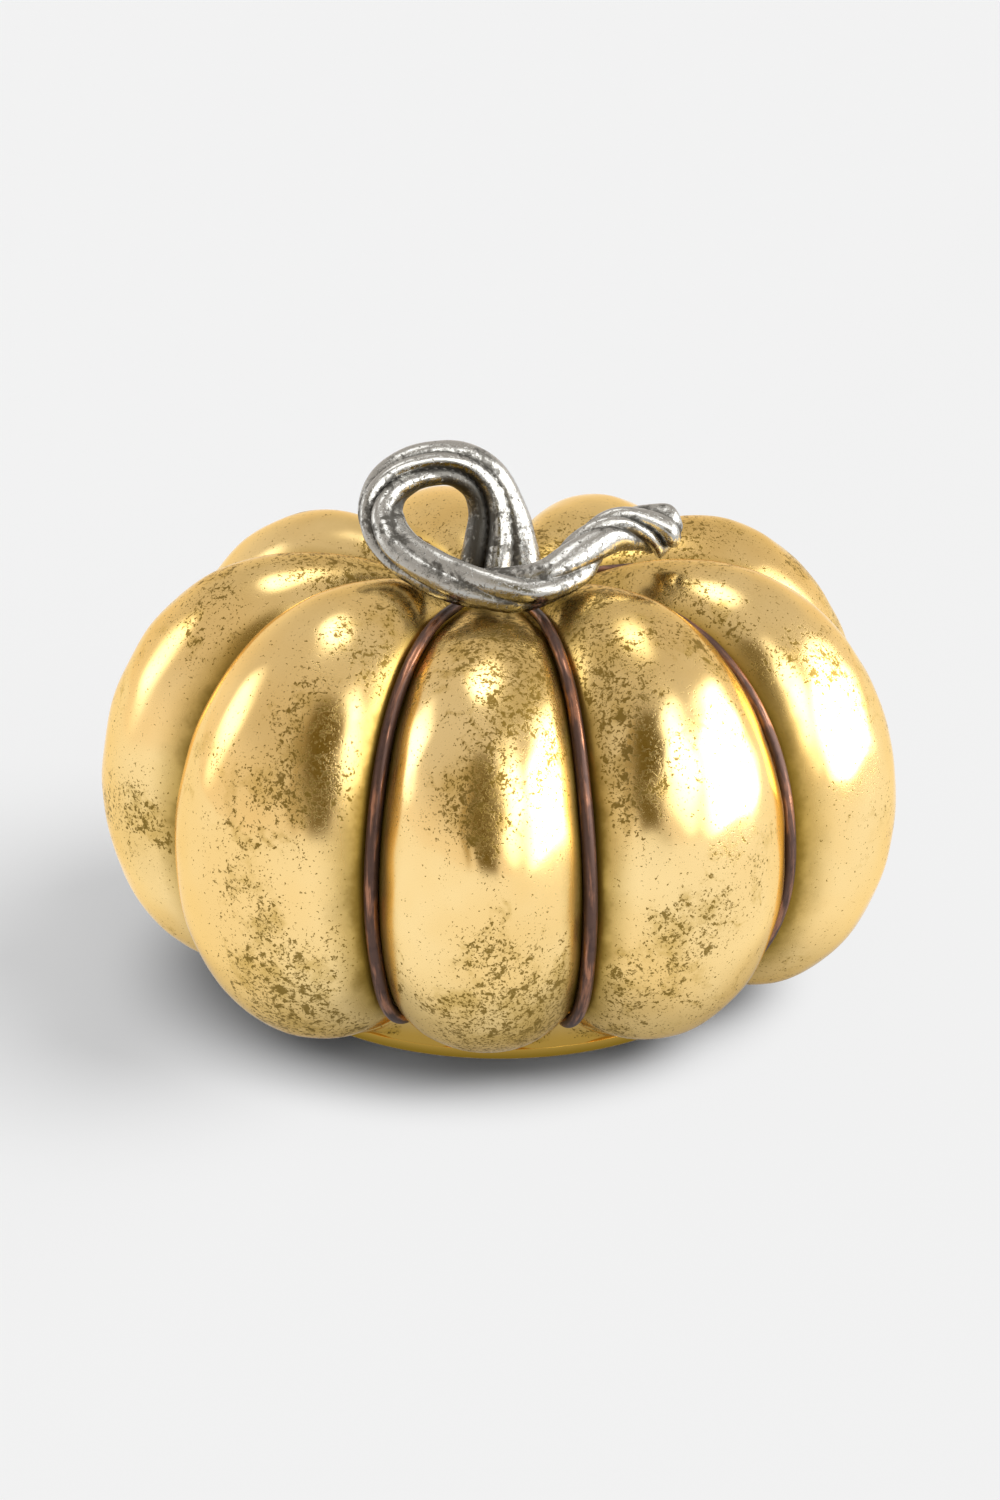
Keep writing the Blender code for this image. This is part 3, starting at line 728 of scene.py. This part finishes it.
def gold_material(name, finish, cover, marked):
    """Bright gold with olive stains and brown specks, which follow the mesh's marks of creases and wear if it
    has them; the crease and cloud marks also bring painted shade. Low down it turns to a deeper, warmer gold
    and darkens further close to the floor, both painted shade for the dark floor seen in it."""
    material, nodes, shader = new_material(name)
    vector = nodes.object_coordinates()
    inputs = {"Vector": vector, "Cover": cover}
    if marked:
        inputs["Cover"] = nodes.plus(nodes.attribute("wear"), cover)
        inputs |= {"Crease": nodes.attribute("crease"), "Cloud": nodes.attribute("cloud")}
    wear_and_shade = nodes.group(speckle_group(), inputs)
    tone = nodes.step(nodes.noise(vector, 26.0, 3.0, 0.55), 0.35, 0.7)
    bright = nodes.mix(tone, tuple(finish.gold), tuple(finish.gold_deep))
    height = nodes.parts(vector)["Z"]
    # Painted shade low down: the foot gold, then darker still right at the floor, for the floor's shadow seen
    # in the gold.
    bright = nodes.mix(nodes.step(height, 12 * MM, 4 * MM), bright, tuple(finish.foot))
    bright = nodes.mix(nodes.step(height, 3.4 * MM, 0.3 * MM, 0.0, 0.9), bright, tuple(finish.stain_and_shade))
    # Stains, together with the painted shade in the grooves and round the crown.
    stained_and_shaded = nodes.mix(wear_and_shade["Stain And Shade"], bright, tuple(finish.stain_and_shade))
    surface = nodes.mix(nodes.times(wear_and_shade["Specks"], 0.9), stained_and_shaded, tuple(finish.speck))
    smear = nodes.step(nodes.noise(vector, 60.0, 3.0), 0.3, 0.75, 0.12, 0.17)
    rough = nodes.plus(smear, nodes.times(wear_and_shade["Specks"], 0.18))
    rough = nodes.plus(rough, nodes.times(wear_and_shade["Stain And Shade"], 0.2))
    links = material.node_tree.links
    links.new(surface, shader.inputs["Base Color"])
    shader.inputs["Specular Tint"].default_value = finish.edge
    links.new(rough, shader.inputs["Roughness"])
    links.new(nodes.step(wear_and_shade["Specks"], 0.0, 1.0, 1.0, 0.85), shader.inputs["Metallic"])
    links.new(nodes.bump(wear_and_shade["Height"], 0.12, 0.4 * MM), shader.inputs["Normal"])
    return material


def drawn_out(nodes, stretch):
    """A piece's coordinates as if it were straight, squeezed along its length so that noise draws out in
    streaks."""
    straight = nodes.add("ShaderNodeAttribute", attribute_name="straight").outputs["Vector"]
    return nodes.add("ShaderNodeMapping", {"Vector": straight, "Scale": (1 / stretch, 1.0, 1.0)}).outputs[0]


def copper_material(finish):
    """Aged copper wire: brown patina, rubbed to copper in streaks that run along it."""
    material, nodes, shader = new_material("aged_copper_wire")
    vector = nodes.object_coordinates()
    streak = nodes.noise(drawn_out(nodes, 9.0), 900.0, 4.0, 0.6)
    cloud = nodes.noise(vector, 70.0, 3.0, 0.6)
    rubbed = nodes.step(nodes.plus(streak, nodes.times(cloud, 0.6)), 0.74, 1.0)
    blotch = nodes.step(nodes.noise(vector, 420.0, 3.0, 0.6), 0.5, 0.7)
    darkest = (0.05, 0.03, 0.028, 1.0)
    patina = nodes.mix(nodes.times(blotch, 0.5), tuple(finish.patina), darkest)
    links = material.node_tree.links
    links.new(nodes.mix(rubbed, patina, tuple(finish.copper)), shader.inputs["Base Color"])
    links.new(nodes.step(rubbed, 0.0, 1.0, 0.46, 0.27), shader.inputs["Roughness"])
    links.new(nodes.step(rubbed, 0.0, 1.0, 0.7, 1.0), shader.inputs["Metallic"])
    grain = nodes.plus(nodes.times(streak, 0.7), nodes.times(blotch, 0.3))
    links.new(nodes.bump(grain, 0.25, 0.3 * MM), shader.inputs["Normal"])
    return material


def pewter_material(finish):
    """Polished cast metal: dark oxide in the flutes, painted shade inside the loop, mottled grey on the flanks
    and bright rubbed ridges.
    """
    material, nodes, shader = new_material("cast_pewter_stem")
    vector = nodes.object_coordinates()
    flute = nodes.attribute("flute")
    mottle = nodes.noise(vector, 750.0, 5.0, 0.7, 0.3)
    streak = nodes.noise(drawn_out(nodes, 7.0), 420.0, 4.0, 0.6)
    depth = nodes.plus(nodes.times(flute, 0.45), nodes.times(streak, 0.8))
    depth = nodes.plus(depth, nodes.times(nodes.minus(mottle, 0.5), 1.1))
    blotch = nodes.step(nodes.noise(vector, 150.0, 4.0, 0.7, 0.5), 0.5, 0.6, 0.0, 0.26)
    oxide = nodes.step(nodes.plus(depth, blotch), 0.52, 0.9)
    pits = nodes.step(nodes.noise(vector, 1150.0, 4.0, 0.7), 0.58, 0.67)
    dark = nodes.math("MAXIMUM", nodes.times(oxide, 0.9), nodes.times(pits, 0.7))
    links = material.node_tree.links
    links.new(nodes.mix(dark, tuple(finish.pewter), tuple(finish.oxide)), shader.inputs["Base Color"])
    links.new(nodes.step(dark, 0.0, 1.0, 0.22, 0.48), shader.inputs["Roughness"])
    shader.inputs["Metallic"].default_value = 1.0
    relief = nodes.minus(nodes.plus(streak, nodes.times(mottle, 0.5)), pits)
    links.new(nodes.bump(relief, 0.4, 0.4 * MM), shader.inputs["Normal"])
    return material


def plated_material(finish):
    """Zinc-plated steel with a faint spangle."""
    material, nodes, shader = new_material("zinc_plated_steel")
    spangle = nodes.noise(nodes.object_coordinates(), 300.0, 2.0)
    links = material.node_tree.links
    dull = tuple(0.8 * channel for channel in finish.zinc[:3]) + (1.0,)
    links.new(nodes.mix(spangle, tuple(finish.zinc), dull), shader.inputs["Base Color"])
    links.new(nodes.step(spangle, 0.3, 0.7, 0.28, 0.42), shader.inputs["Roughness"])
    shader.inputs["Metallic"].default_value = 1.0
    return material


def fibre_material(finish):
    """Red-brown fibre board with fine flecks."""
    material, nodes, shader = new_material("red_fibre")
    fleck = nodes.noise(nodes.object_coordinates(), 900.0, 3.0)
    links = material.node_tree.links
    pale = tuple(min(1.0, 1.6 * channel) for channel in finish.fibre[:3]) + (1.0,)
    links.new(nodes.mix(nodes.step(fleck, 0.45, 0.7), tuple(finish.fibre), pale), shader.inputs["Base Color"])
    links.new(nodes.bump(fleck, 0.2, 0.2 * MM), shader.inputs["Normal"])
    shader.inputs["Roughness"].default_value = 0.8
    return material


class PUMPKIN_OT_shell(bpy.types.Operator):
    """Make the hollow lobed shell"""

    bl_idname = "pumpkin.shell"
    bl_label = "Lobed Shell"

    def execute(self, context):
        settings = context.scene.pumpkin
        points, marks = shell_grid(settings.shell, settings.wires.hug)
        shell = add_surface("lobed_shell", points, wrap_rows=True, marks=marks)
        gold = gold_material("speckled_gold_shell", settings.finish, -0.06, True)
        dressed(shell, gold, "gold_ceramic", "pumpkin_shell")
        return {"FINISHED"}


class PUMPKIN_OT_base_plate(bpy.types.Operator):
    """Make the round plate that the shell stands on"""

    bl_idname = "pumpkin.base_plate"
    bl_label = "Base Plate"

    def execute(self, context):
        settings = context.scene.pumpkin
        points, poles = base_grid(settings.shell)
        base = add_surface("round_base", points, poles=poles)
        # The base's colour is mostly painted shade: the foot gold, darkening towards the floor.
        gold = gold_material("gold_base_with_painted_shade", settings.finish, -0.3, False)
        dressed(base, gold, "gold_ceramic", "base_plate")
        return {"FINISHED"}


class PUMPKIN_OT_wires(bpy.types.Operator):
    """Lay a copper wire in each groove"""

    bl_idname = "pumpkin.wires"
    bl_label = "Groove Wires"

    def execute(self, context):
        settings = context.scene.pumpkin
        copper = copper_material(settings.finish)
        for lobe, node in enumerate(WIRE_NODES):
            points, path, straight = wire_grid(settings.shell, settings.wires, lobe)
            ends, marks = (path[0], path[-1]), {"straight": straight[1:-1]}
            wire = add_surface(node.replace("groove", "copper"), points[1:-1], poles=ends, marks=marks)
            dressed(wire, copper, "copper_wire", node)
        return {"FINISHED"}


class PUMPKIN_OT_stem(bpy.types.Operator):
    """Make the twisted cast stem"""

    bl_idname = "pumpkin.stem"
    bl_label = "Cast Stem"

    def execute(self, context):
        settings = context.scene.pumpkin
        points, poles, marks = stem_grid(settings.stem)
        stem = add_surface("twisted_stem", points, poles=poles, marks=marks)
        dressed(stem, pewter_material(settings.finish), "stem_metal", "stem")
        return {"FINISHED"}


class PUMPKIN_OT_fastening(bpy.types.Operator):
    """Give the stud, nut and washers their finishes"""

    bl_idname = "pumpkin.fastening"
    bl_label = "Stem Fastening"

    def execute(self, context):
        finish = context.scene.pumpkin.finish
        steel, fibre = plated_material(finish), fibre_material(finish)
        finishes = {"stem_stud": steel, "stem_nut": steel, "steel_washer": steel, "sealing_washer": fibre}
        for node, material in finishes.items():
            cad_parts[node].material_slots[0].material = material
        return {"FINISHED"}


def add_sun(name, azimuth, elevation, strength, spread):
    """A soft distant light that shines from an azimuth and elevation, and doesn't show in reflections."""
    lamp = bpy.data.lights.new(name, "SUN")
    lamp.energy = strength
    lamp.angle = math.radians(spread)
    sun = bpy.data.objects.new(name, lamp)
    bpy.context.scene.collection.objects.link(sun)
    towards = Vector(at_azimuth(math.cos(elevation), math.sin(elevation), azimuth))
    sun.rotation_euler = towards.to_track_quat("Z", "Y").to_euler()
    sun.visible_glossy = False


def add_sheet(name, width, height, material):
    """A flat rectangle about the origin, facing up."""
    corners = [(x * width / 2, y * height / 2, 0.0) for x, y in ((-1, -1), (1, -1), (1, 1), (-1, 1))]
    mesh = bpy.data.meshes.new(name)
    mesh.from_pydata(corners, [], [(0, 1, 2, 3)])
    mesh.materials.append(material)
    sheet = bpy.data.objects.new(name, mesh)
    bpy.context.scene.collection.objects.link(sheet)
    return sheet


def add_card(name, azimuth, elevation, width, height, square, soft, colour):
    """A soft-edged card that faces the figure and shows only in its reflections: an oval at a square of 2,
    and nearer to a rectangle above that. It doesn't show to light that has already come off the floor."""
    material, nodes, shader = new_material(name)
    material.node_tree.nodes.remove(shader)
    inputs = {0: nodes.object_coordinates(), 1: (2 / width, 2 / height, 0.0)}
    place = nodes.add("ShaderNodeVectorMath", inputs, operation="MULTIPLY").outputs[0]
    across, up, _ = nodes.parts(place)
    across, up = (nodes.math("POWER", nodes.math("ABSOLUTE", part), square) for part in (across, up))
    off_middle = nodes.math("POWER", nodes.plus(across, up), 1 / square)
    shown = nodes.step(off_middle, 1.0, 1.0 - soft)
    bounced = nodes.add("ShaderNodeLightPath").outputs["Diffuse Depth"]
    shown = nodes.times(shown, nodes.math("LESS_THAN", bounced, 0.5))
    clear = nodes.add("ShaderNodeBsdfTransparent").outputs[0]
    glow = nodes.add("ShaderNodeEmission", {"Color": (*colour, 1.0)}).outputs[0]
    blend = nodes.add("ShaderNodeMixShader", {0: shown, 1: clear, 2: glow}).outputs[0]
    material.node_tree.links.new(blend, material.node_tree.nodes["Material Output"].inputs["Surface"])
    card = add_sheet(name, width, height, material)
    towards = Vector(at_azimuth(math.cos(elevation), math.sin(elevation), azimuth))
    card.location = CARD_DISTANCE * towards + Vector((0.0, 0.0, CARD_RAISE))
    card.rotation_euler = towards.to_track_quat("Z", "Y").to_euler()
    card.visible_camera = card.visible_diffuse = card.visible_shadow = False


class PUMPKIN_OT_stage(bpy.types.Operator):
    """Make the floor, the light and the camera"""

    bl_idname = "pumpkin.stage"
    bl_label = "Stage"

    def execute(self, context):
        stage = context.scene.pumpkin.stage
        self.make_floor(stage)
        self.make_dome(context, stage)
        self.make_camera(context, stage)
        add_sun("key_light", math.radians(84), math.radians(46), 2.05 * stage.sun, 40.0)
        add_sun("front_light", math.radians(5), math.radians(32), 0.35 * stage.sun, 50.0)
        for card in self.cards():
            add_card(*card)
        context.scene.view_settings.view_transform = "Standard"
        return {"FINISHED"}

    def cards(self):
        """Softboxes and flags: name, azimuth, elevation, width, height, square, soft share and colour."""
        return (
            ("right_softbox", math.radians(82), math.radians(15), 3.5, 2.5, 2.0, 0.6, (6.0, 6.0, 6.0)),
            ("right_fill", math.radians(35), math.radians(30), 1.2, 2.3, 2.0, 0.7, (4.0, 4.0, 4.0)),
            ("left_softbox", math.radians(-100), math.radians(24), 1.3, 1.8, 2.0, 0.7, (2.6, 2.6, 2.6)),
            ("top_softbox", math.radians(-170), math.radians(82), 1.2, 1.5, 2.0, 0.8, (3.7, 3.7, 3.7)),
            ("thin_flag", math.radians(-17), math.radians(25), 0.3, 2.2, 4.0, 0.5, (0.4, 0.3, 0.12)),
            ("dark_flag", math.radians(4), math.radians(27), 1.1, 2.4, 5.0, 0.3, (0.13, 0.088, 0.0)),
        )

    def make_floor(self, stage):
        """A pale floor. The camera sees its shadow close to the figure and on the left, and otherwise the
        backdrop's level. Reflections see it as white, with a painted shadow that greys it close to the figure."""
        material, nodes, shader = new_material("pale_floor")
        shader.inputs["Base Color"].default_value = stage.floor
        shader.inputs["Roughness"].default_value = 0.9
        shader.inputs["Specular IOR Level"].default_value = 0.0
        path = nodes.add("ShaderNodeLightPath").outputs
        thrown = nodes.math("MINIMUM", path["Diffuse Depth"], 1.0)
        place = nodes.object_coordinates()
        right, back, _ = nodes.parts(place)
        away = nodes.add("ShaderNodeVectorMath", {0: place}, operation="LENGTH").outputs["Value"]
        # Painted shadow: to reflections the floor's glow greys towards the figure.
        glow_with_painted_shadow = nodes.step(away, 55 * MM, 110 * MM, 0.4, 1.0)
        glow_with_painted_shadow = nodes.blend(path["Is Camera Ray"], glow_with_painted_shadow, BACKDROP_LEVEL)
        glow_with_painted_shadow = nodes.times(glow_with_painted_shadow, nodes.minus(1.0, thrown))
        glow = nodes.add("ShaderNodeEmission", {"Color": WHITE, "Strength": glow_with_painted_shadow}).outputs[0]
        shaded = nodes.minus(nodes.times(back, 0.3), right)
        lean = nodes.times(right, nodes.step(right, -10 * MM, 10 * MM, 0.06, 0.16))
        lean = nodes.plus(away, lean)
        clear = nodes.step(lean, 58 * MM, 89 * MM)
        pale = nodes.times(clear, nodes.step(shaded, 10 * MM, 75 * MM, 0.95, 0.43))
        pale = nodes.times(path["Is Camera Ray"], pale)
        share_lit = nodes.plus(path["Is Glossy Ray"], pale, True)
        blend = nodes.add("ShaderNodeMixShader", {0: share_lit, 1: shader.outputs[0], 2: glow}).outputs[0]
        material.node_tree.links.new(blend, material.node_tree.nodes["Material Output"].inputs["Surface"])
        floor = add_sheet("pale_floor", FLOOR_SIDE, FLOOR_SIDE, material)

    def make_dome(self, context, stage):
        """The studio all round: pale at the horizon and greyer above, and at the floor's own level to the
        camera. Light that the figure throws on the floor is held back, so that its shadow stays neutral."""
        world = bpy.data.worlds.new("studio_dome")
        context.scene.world = world
        world.use_nodes = True
        nodes = Nodes(world.node_tree)
        towards = nodes.add("ShaderNodeTexCoord").outputs["Generated"]
        up = nodes.parts(towards)["Z"]
        level = nodes.step(up, 0.05, 0.65, 0.96, 0.71)
        path = nodes.add("ShaderNodeLightPath").outputs
        bounced = nodes.math("MINIMUM", path["Diffuse Depth"], 1.0)
        thrown = nodes.times(path["Is Glossy Ray"], bounced)
        level = nodes.times(level, nodes.minus(1.0, thrown))
        level = nodes.times(level, nodes.step(path["Is Diffuse Ray"], 0.0, 1.0, 1.0, 0.62))
        tint = nodes.mix(path["Is Glossy Ray"], WHITE, tuple(stage.dome_tint))
        level = nodes.times(level, stage.dome)
        level = nodes.blend(path["Is Camera Ray"], level, BACKDROP_LEVEL)
        backdrop = world.node_tree.nodes["Background"]
        world.node_tree.links.new(level, backdrop.inputs["Strength"])
        world.node_tree.links.new(tint, backdrop.inputs["Color"])

    def make_camera(self, context, stage):
        lens = bpy.data.cameras.new("camera")
        lens.lens = stage.lens
        lens.sensor_width = 36.0
        lens.clip_start = 0.01
        camera = bpy.data.objects.new("camera", lens)
        context.scene.collection.objects.link(camera)
        away = at_azimuth(math.cos(stage.elevation), math.sin(stage.elevation), 0.0)
        camera.location = Vector(away) * stage.distance + Vector((0.0, 0.0, stage.aim))
        camera.rotation_euler = (math.pi / 2 - stage.elevation, 0.0, 0.0)
        context.scene.camera = camera


class VIEW3D_PT_pumpkin(bpy.types.Panel):
    """Lists the pieces of the pumpkin figure"""

    bl_label = "Pumpkin Figure"
    bl_idname = "VIEW3D_PT_pumpkin"
    bl_space_type = "VIEW_3D"
    bl_region_type = "UI"
    bl_category = "Pumpkin"

    def draw(self, context):
        for operator in OPERATORS:
            self.layout.operator(operator.bl_idname)


GROUPS = (ShellSettings, WireSettings, StemSettings, FinishSettings, StageSettings, PumpkinSettings)
OPERATORS = (
    PUMPKIN_OT_stage,
    PUMPKIN_OT_shell,
    PUMPKIN_OT_base_plate,
    PUMPKIN_OT_wires,
    PUMPKIN_OT_stem,
    PUMPKIN_OT_fastening,
)
CLASSES = (*GROUPS, *OPERATORS, VIEW3D_PT_pumpkin)


def register():
    for cls in CLASSES:
        bpy.utils.register_class(cls)
    bpy.types.Scene.pumpkin = PointerProperty(type=PumpkinSettings)


def unregister():
    del bpy.types.Scene.pumpkin
    for cls in reversed(CLASSES):
        bpy.utils.unregister_class(cls)


def main():
    """Builds every piece and the stage."""
    register()
    bpy.ops.pumpkin.stage()
    bpy.ops.pumpkin.shell()
    bpy.ops.pumpkin.base_plate()
    bpy.ops.pumpkin.wires()
    bpy.ops.pumpkin.stem()
    bpy.ops.pumpkin.fastening()


if __name__ == "__main__":
    main()
